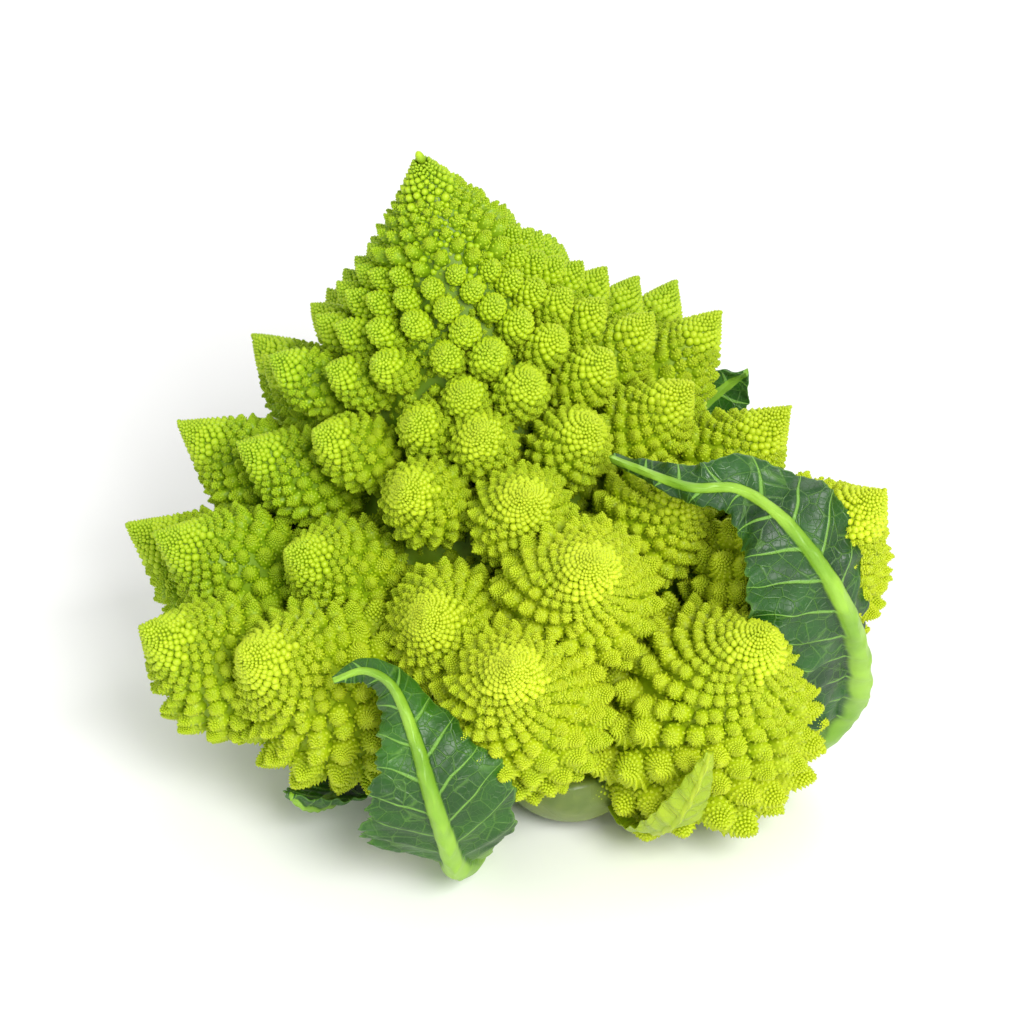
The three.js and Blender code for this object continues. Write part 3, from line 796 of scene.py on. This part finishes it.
# Materials
class Nodes:
    """A material's node tree, filled by short calls."""

    def __init__(self, name):
        self.material = bpy.data.materials.new(name)
        self.material.use_nodes = True
        self.tree = self.material.node_tree
        self.shader = self.tree.nodes["Principled BSDF"]

    def add(self, kind, inputs=None, **settings):
        node = self.tree.nodes.new("ShaderNode" + kind)
        for name, value in settings.items():
            setattr(node, name, value)
        for name, value in (inputs or {}).items():
            if isinstance(value, bpy.types.NodeSocket):
                self.tree.links.new(value, node.inputs[name])
            else:
                node.inputs[name].default_value = value
        return node

    def mark(self, name):
        return self.add("Attribute", attribute_name=name).outputs["Fac"]

    def where(self):
        return self.add("TexCoord").outputs["Object"]

    def noise(self, scale, detail=3.0, rough=0.5, at=None):
        inputs = {"Vector": at or self.where(), "Scale": scale, "Detail": detail, "Roughness": rough}
        return self.add("TexNoise", inputs).outputs["Fac"]

    def math(self, operation, a, b=0.0, clamp=False):
        return self.add("Math", {0: a, 1: b}, operation=operation, use_clamp=clamp).outputs[0]

    def mapped(self, value, low, high, to_low=0.0, to_high=1.0):
        inputs = {"Value": value, "From Min": low, "From Max": high, "To Min": to_low, "To Max": to_high}
        return self.add("MapRange", inputs, interpolation_type="SMOOTHSTEP").outputs["Result"]

    def mix(self, share, a, b, kind="MIX"):
        node = self.add("Mix", data_type="RGBA", blend_type=kind)
        for socket, value in ((node.inputs[0], share), (node.inputs[6], a), (node.inputs[7], b)):
            if isinstance(value, bpy.types.NodeSocket):
                self.tree.links.new(value, socket)
            else:
                socket.default_value = value
        return node.outputs[2]

    def bump(self, height, distance, strength, onto=None):
        inputs = {"Height": height, "Distance": distance, "Strength": strength}
        if onto is not None:
            inputs["Normal"] = onto
        return self.add("Bump", inputs).outputs["Normal"]

    def wear(self, **inputs):
        for name, value in inputs.items():
            socket = self.shader.inputs[name.replace("_", " ")]
            if isinstance(value, bpy.types.NodeSocket):
                self.tree.links.new(value, socket)
            else:
                socket.default_value = value
        return self.material


def colour(red, green, blue):
    """An sRGB colour of 0 to 255 as the linear colour that a shader takes."""
    shares = red / 255, green / 255, blue / 255
    linear = [c / 12.92 if c <= 0.04045 else ((c + 0.055) / 1.055) ** 2.4 for c in shares]
    return (*linear, 1.0)


def curd_material():
    """Waxy lime-green buds: yellower at their tips, partly as a painted highlight, with painted shade in the
    olive creases between them, and painted light that makes the front and right yellower than the back and
    left.
    """
    n = Nodes("curd_buds")
    rise, tipward, shade = n.mark("rise"), n.mark("tipward"), n.mark("shade")
    patches = n.noise(22.0, 2.0)
    place = n.add("SeparateXYZ", {"Vector": n.where()})
    # Painted light: the front, right and lower side is mixed toward yellow and the back and left stay
    # greener, as the key lamp falls; a quarter of the mix is random tone patches
    toward_front = n.math("SUBTRACT", n.math("MULTIPLY", place.outputs[0], 0.8), place.outputs[1])
    toward_front = n.math("SUBTRACT", toward_front, n.math("MULTIPLY", place.outputs[2], 0.3))
    lit_side_and_patches = n.math("MULTIPLY", n.mapped(toward_front, -0.06, 0.07), 0.75)
    lit_side_and_patches = n.math("ADD", lit_side_and_patches, n.math("MULTIPLY", n.mapped(patches, 0.3, 0.7), 0.25))
    base = n.mix(lit_side_and_patches, colour(126, 166, 4), colour(180, 196, 8))
    tip = n.mix(lit_side_and_patches, colour(174, 202, 22), colour(200, 214, 40))
    # Painted highlight: each bud is mixed toward the lighter tip colour by its rise mark, most at its tip
    body = n.mix(n.math("MULTIPLY", n.mapped(rise, 0.1, 0.9), 0.85), base, tip)
    # Painted shade: dark olive at each bud's foot, where its rise is low, stronger lower down a floret, where
    # its tipward mark is low
    crease_shade = n.mapped(rise, 0.0, 0.3, 1.0, 0.0)
    deep = n.mapped(tipward, 0.2, 1.0, 0.55, 0.1)
    body = n.mix(n.math("MULTIPLY", crease_shade, deep), body, colour(98, 126, 4))
    # Floret tips mixed toward pale yellow: partly the younger buds' own paler tone, partly a painted
    # highlight
    body = n.mix(n.math("MULTIPLY", n.mapped(tipward, 0.3, 1.0), 0.08), body, colour(226, 236, 84))
    body = n.mix(n.math("MULTIPLY", shade, 0.16), body, colour(140, 186, 16))
    grain = n.noise(900.0, 2.0)
    normal = n.bump(grain, 0.0002, 0.35)
    rough = n.mapped(n.noise(260.0, 2.0), 0.2, 0.8, 0.42, 0.6)
    n.shader.inputs["Subsurface Radius"].default_value = (1.0, 1.0, 0.25)
    glow = {"Subsurface_Weight": 0.15, "Subsurface_Scale": 0.0015}
    return n.wear(Base_Color=body, Roughness=rough, Normal=normal, IOR=1.4, **glow)


def flesh_material():
    """Olive-green flesh with fine fibres, on the core and the branches under the florets."""
    n = Nodes("curd_flesh")
    patches = n.noise(35.0, 3.0)
    fibres = n.noise(140.0, 4.0, 0.6)
    base = n.mix(n.mapped(patches, 0.3, 0.7), colour(84, 118, 4), colour(116, 150, 12))
    base = n.mix(n.math("MULTIPLY", n.mapped(fibres, 0.4, 0.7), 0.25), base, colour(146, 172, 30))
    normal = n.bump(fibres, 0.0006, 0.4)
    rough = n.mapped(fibres, 0.2, 0.8, 0.45, 0.65)
    glow = {"Subsurface_Weight": 0.15, "Subsurface_Scale": 0.002}
    return n.wear(Base_Color=base, Roughness=rough, Normal=normal, **glow)


def stalk_material():
    """A pale stem with length-wise fibres and a drier cut face."""
    n = Nodes("stalk_flesh")
    place = n.where()
    apart = n.add("SeparateXYZ", {"Vector": place})
    stretched = n.add("Mapping", {"Vector": place, "Scale": (1.0, 1.0, 0.15)}).outputs[0]
    fibres = n.noise(420.0, 4.0, 0.6, stretched)
    base = n.mix(n.mapped(fibres, 0.3, 0.7), colour(140, 164, 78), colour(188, 200, 130))
    squares = [n.math("POWER", apart.outputs[k], 2.0) for k in range(2)]
    across = n.math("SQRT", n.math("ADD", *squares))
    cut = n.mapped(apart.outputs[2], 0.0004, 0.0012, 1.0, 0.0)
    ring = n.mapped(n.math("ABSOLUTE", n.math("SUBTRACT", across, 0.0205)), 0.0004, 0.0022, 1.0, 0.0)
    pith = n.mix(n.math("MULTIPLY", ring, 0.6), colour(214, 216, 170), colour(160, 172, 96))
    pith = n.mix(n.math("MULTIPLY", n.noise(300.0, 4.0), 0.4), pith, colour(178, 162, 104))
    normal = n.bump(fibres, 0.0005, 0.45)
    rough = n.mapped(fibres, 0.2, 0.8, 0.45, 0.7)
    return n.wear(Base_Color=n.mix(cut, base, pith), Roughness=rough, Normal=normal)


def leaf_material(name, blade_low, blade_high, vein, rib_low, rib_high, pitch, net):
    """A leaf blade with side veins and a net of fine ones between them, and a smooth bright midrib."""
    n = Nodes(name)
    marks = "midrib", "edge", "blade", "width", "length"
    ribbed, edge, blade, width, length = (n.mark(mark) for mark in marks)
    flat = n.add("CombineXYZ", {"X": width, "Y": length}).outputs[0]
    swirl = n.add("TexNoise", {"Vector": flat, "Scale": 0.18, "Detail": 2.0}).outputs["Color"]
    bent = n.mix(0.3, flat, swirl, "ADD")
    away = n.math("ABSOLUTE", width)
    bow = n.math("MULTIPLY", n.math("POWER", away, VEIN_CURVE), VEIN_BOW)
    uneven = n.add("TexNoise", {"Vector": flat, "Scale": 0.12, "Detail": 1.0}).outputs["Fac"]
    wobble = n.math("MULTIPLY", uneven, 2.5)
    phase = n.math("DIVIDE", n.math("SUBTRACT", n.math("ADD", length, wobble), bow), pitch)
    phase = n.math("ADD", phase, n.math("MULTIPLY", n.math("GREATER_THAN", width, 0.0), VEIN_STAGGER))
    near = n.math("MULTIPLY", n.math("ABSOLUTE", n.math("SUBTRACT", phase, n.math("ROUND", phase))), pitch)
    thick = n.mapped(edge, 0.1, 1.0, 0.75, 0.22)
    veined = n.mapped(n.math("DIVIDE", near, thick), 0.35, 1.0, 1.0, 0.0)
    nets = []
    for scale, fine in ((0.24, 0.05), (0.6, 0.06)):
        cells = n.add("TexVoronoi", {"Vector": bent, "Scale": scale}, feature="DISTANCE_TO_EDGE")
        nets.append(n.mapped(cells.outputs["Distance"], 0.0, fine, 1.0, 0.0))
    fine = n.math("ADD", n.math("MULTIPLY", nets[0], 0.75), n.math("MULTIPLY", nets[1], 0.3), clamp=True)
    patches = n.mapped(n.noise(60.0, 3.0), 0.3, 0.7)
    skin = n.mix(patches, blade_low, blade_high)
    skin = n.mix(n.math("MULTIPLY", fine, net), skin, vein)
    skin = n.mix(n.math("MULTIPLY", n.math("MULTIPLY", veined, blade), 0.85), skin, vein)
    skin = n.mix(n.math("MULTIPLY", n.mapped(edge, 0.95, 1.0), 0.3), skin, vein)
    rib = n.mix(n.mapped(n.noise(90.0, 3.0), 0.3, 0.7), rib_low, rib_high)
    stem = n.math("MAXIMUM", n.mapped(ribbed, 0.05, 0.5), n.math("SUBTRACT", 1.0, blade))
    shown = n.mix(stem, skin, rib)
    relief = n.math("ADD", n.math("MULTIPLY", fine, 0.5), n.math("MULTIPLY", veined, 0.9))
    relief = n.math("ADD", relief, n.math("MULTIPLY", n.noise(700.0, 3.0), 0.4))
    normal = n.bump(relief, 0.0006, n.mapped(stem, 0.0, 0.8, 0.6, 0.1))
    rough = n.mapped(n.noise(150.0, 3.0), 0.2, 0.8, 0.36, 0.52)
    n.shader.inputs["Subsurface Radius"].default_value = (0.6, 1.0, 0.2)
    glow = {"Subsurface_Weight": 0.06, "Subsurface_Scale": 0.0008}
    return n.wear(Base_Color=shown, Roughness=rough, Normal=normal, **glow)


# Each leaf's blade where it is dark and where it is light, its veins, and its midrib from dark to light
GREEN_RIB = [(116, 166, 60), (112, 158, 32), (146, 190, 56)]
GREEN_TONES = [(20, 66, 3), (48, 104, 10), *GREEN_RIB]
SIDE_TONES = [(10, 50, 8), (34, 86, 18), *GREEN_RIB]
BRACT_TONES = [(136, 164, 10), (160, 182, 20), (168, 188, 32), (154, 178, 18), (168, 188, 30)]
STUB_TONES = [(66, 88, 34), (92, 112, 46), (110, 130, 64), (92, 112, 48), (128, 142, 66)]
LEAF_TONES = {"bract": BRACT_TONES, "leaf_stub": STUB_TONES, "side_leaf": SIDE_TONES}


def leaf_finishes():
    """Each leaf's material slot and material."""
    finishes = {}
    for node, looks in LEAF_LOOKS.items():
        tones = [colour(*tone) for tone in LEAF_TONES.get(node, GREEN_TONES)]
        slot = "pale_leaf" if node in ("bract", "leaf_stub") else "leaf"
        finishes[node] = (slot, leaf_material(f"{node}_skin", *tones, looks["veins"], looks["net"]))
    return finishes


def floor_material():
    """Matt white with faint cloudy tones."""
    n = Nodes("pale_floor")
    tone = n.mix(n.mapped(n.noise(3.0, 2.0), 0.3, 0.7), (0.9, 0.9, 0.89, 1), (0.93, 0.93, 0.92, 1))
    return n.wear(Base_Color=tone, Roughness=0.75)


# The scene
def curd_objects(florets, material):
    """The florets and the crown, a run of neighbours to each mesh."""
    rng = np.random.default_rng(SEED)
    crown_start = next(k for k, floret in enumerate(florets) if floret["radius"] < SMALLEST_FLORET)
    made, shapes, count = [], [], 0
    every = [shape for floret in florets[:crown_start] for shape in floret_shapes(floret, florets, rng)]
    for shape in every + cleft_shapes(florets[:crown_start], rng):
        if count + len(shape.triangles) > MOST_FACES:
            made.append(Shape.joined(shapes))
            shapes, count = [], 0
        shapes.append(shape)
        count += len(shape.triangles)
    made.append(Shape.joined(shapes))
    crown = crown_shape(florets[crown_start:], rng)
    objects = [mesh_object(f"curd_florets_{k + 1:02d}", shape, material) for k, shape in enumerate(made)]
    return objects + [mesh_object("curd_crown", crown, material)]


def crown_shape(florets, rng):
    """The single buds that close in on the apex, which nods a little further than the head leans."""
    sizes = CROWN_FILL * np.array([floret["radius"] for floret in florets])
    sizes = sizes * rng.normal(1, SIZE_JITTER, len(florets))
    axes = np.array([floret["axis"] for floret in florets])
    places = nodded(np.array([floret["tip"] for floret in florets]) + CROWN_RISE * sizes[:, None] * axes)
    spin = rng.uniform(0, 2 * np.pi, len(florets))
    tipward = np.linspace(*CROWN_TIPWARD, len(florets))
    marks = {"tipward": tipward, "shade": rng.uniform(0, 1, len(florets))}
    buds = sized_buds(places, axes, spin, sizes, np.full(len(sizes), True), marks)
    cap = plain_bud(20, 8)
    cap.points = nodded(leaned(APEX_CAP * cap.points + (0, 0, APEX_HEIGHT - APEX_SINK)))
    each = len(cap.points)
    cap.marks.update(tipward=np.full(each, CROWN_TIPWARD[1]), shade=np.full(each, 0.5))
    return Shape.joined([*buds, cap])


def nodded(points):
    """Points with the crown's own small lean and stretch added."""
    below = leaned([0, 0, APEX_HEIGHT])[2] - points[:, 2]
    share = np.clip(1 - below / CROWN_HEIGHT, 0, 1.2)[:, None] ** 2
    return points + share * np.array(CROWN_NOD)


# The camera: its focal length, and what it is aimed at, how steeply and from how far
LENS = 104.0
AIM = (-1.3, 0.0, 48.4)
ELEVATION = math.radians(34.69)
DISTANCE = 721.8


def camera():
    """A long lens, looking down on the head's front."""
    data = bpy.data.cameras.new("camera")
    data.lens = LENS
    data.clip_start, data.clip_end = 0.01, 50.0
    obj = bpy.data.objects.new("camera", data)
    bpy.context.collection.objects.link(obj)
    aim = Vector(AIM) * MM
    obj.location = aim + DISTANCE * MM * Vector((0, -math.cos(ELEVATION), math.sin(ELEVATION)))
    obj.rotation_euler = (aim - obj.location).to_track_quat("-Z", "Y").to_euler()
    bpy.context.scene.camera = obj


# Soft square lamps: place in metres, power in watts and size in metres
LAMPS = {
    "key": ((0.35, -0.8, 0.8), 12.5, 0.45),
    "fill": ((-0.9, -0.5, 0.5), 2.2, 0.8),
    "back": ((0.2, 1.0, 0.9), 5.0, 0.9),
}
LAMP_AIM = (0, 0, 0.06)
ROOM_LIGHT = 0.62
FLOOR_HALF = 6.0  # metres


def lamp(name, place, power, size):
    """A square lamp that faces the head."""
    data = bpy.data.lights.new(name, "AREA")
    data.energy, data.size = power, size
    obj = bpy.data.objects.new(name, data)
    obj.location = place
    obj.rotation_euler = (Vector(LAMP_AIM) - obj.location).to_track_quat("-Z", "Y").to_euler()
    bpy.context.collection.objects.link(obj)


def surroundings():
    """The floor, the lamps and the white room."""
    corners = [(-1, -1, 0), (1, -1, 0), (1, 1, 0), (-1, 1, 0)]
    points = FLOOR_HALF / MM * np.array(corners)
    floor = mesh_object("floor", Shape(points, [(0, 1, 2), (0, 2, 3)]), floor_material())
    floor.location.z = CAD_BOX[0].z
    for name, (place, power, size) in LAMPS.items():
        lamp(name, place, power, size)
    world = bpy.data.worlds.new("room")
    bpy.context.scene.world = world
    world.use_nodes = True
    world.node_tree.nodes["Background"].inputs["Color"].default_value = (1, 1, 1, 1)
    world.node_tree.nodes["Background"].inputs["Strength"].default_value = ROOM_LIGHT
    bpy.context.scene.view_settings.view_transform = "Standard"


def main():
    """Builds the scene, its floor set at the foot of the CAD model's box."""
    camera()
    surroundings()
    florets = spiral_florets()
    curd = curd_material()
    for obj in curd_objects(florets, curd):
        place(obj, "curd", "curd")
    place(flesh_object(florets, flesh_material()), "curd", "curd")
    place(mesh_object("stalk_stem", stalk_shape(), stalk_material()), "stalk", "stalk")
    finishes = leaf_finishes()
    for node, stations in LEAVES.items():
        slot, material = finishes[node]
        place(mesh_object(f"{node}_blade", leaf_shape(stations, LEAF_LOOKS[node]), material), slot, node)


main()
